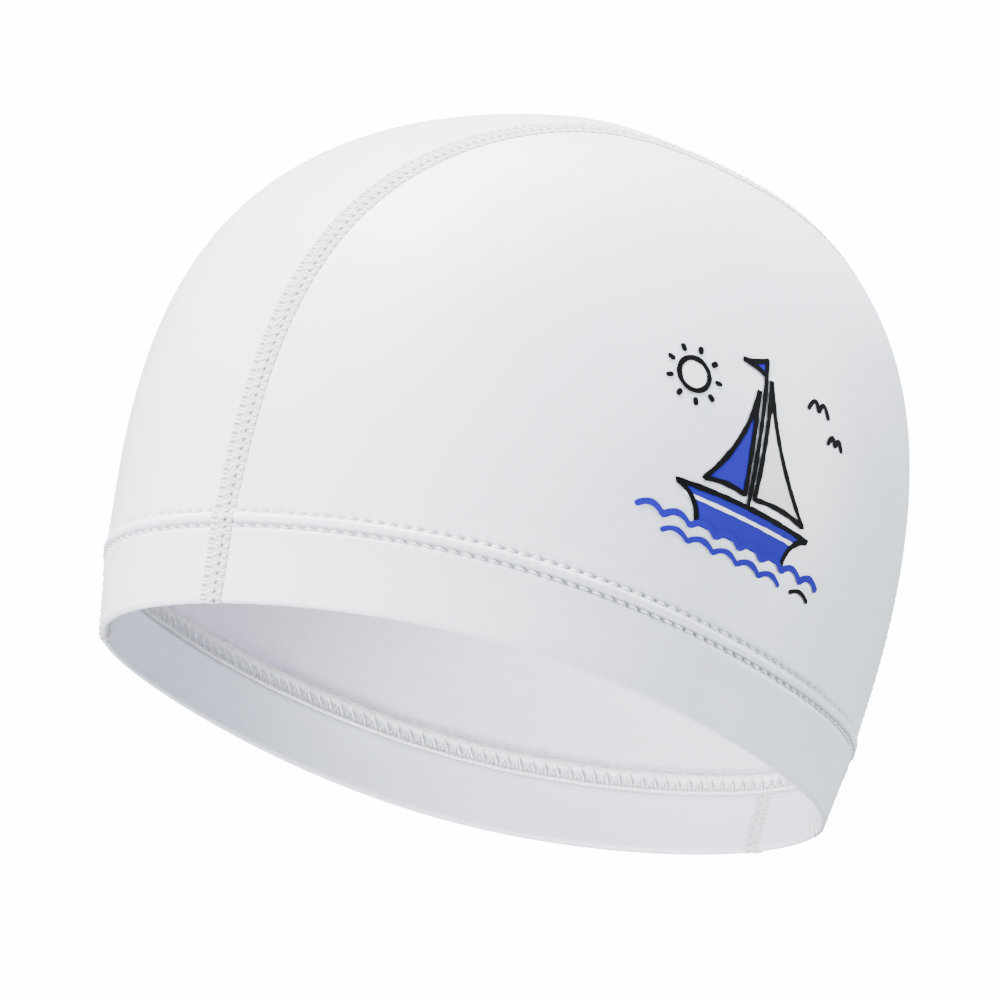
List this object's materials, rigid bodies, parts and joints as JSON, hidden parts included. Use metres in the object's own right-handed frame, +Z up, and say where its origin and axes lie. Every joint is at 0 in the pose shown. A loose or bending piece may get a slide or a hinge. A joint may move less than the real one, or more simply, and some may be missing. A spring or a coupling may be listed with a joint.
{
  "type": "swim cap",
  "caption": "Stretch cloth swim cap in its worn form: a centre strip between two side panels, flat seams over the crown and a deep turned-up, cover-stitched hem round an open hollow.",
  "frame": {"origin": "middle of the opening for the head, level with the rim, where a head holds the cap", "axes": "+X to the wearer's left, +Y to the back of the head, +Z up through the crown"},
  "size_m": [0.1756, 0.2064, 0.1621],
  "materials": {
    "coated_cloth": "smooth matt polyurethane coating on white stretch knit",
    "seam_thread": "matt textured polyester thread",
    "hem_thread": "matt textured polyester thread",
    "print_ink": "screen-printed ink in black, white and blue"
  },
  "bodies": {
    "root": {"centre_panel": "coated_cloth", "left_panel": "coated_cloth", "right_panel": "coated_cloth", "left_seam": "seam_thread", "right_seam": "seam_thread", "hem_stitch": "hem_thread"}
  },
  "joints": []
}
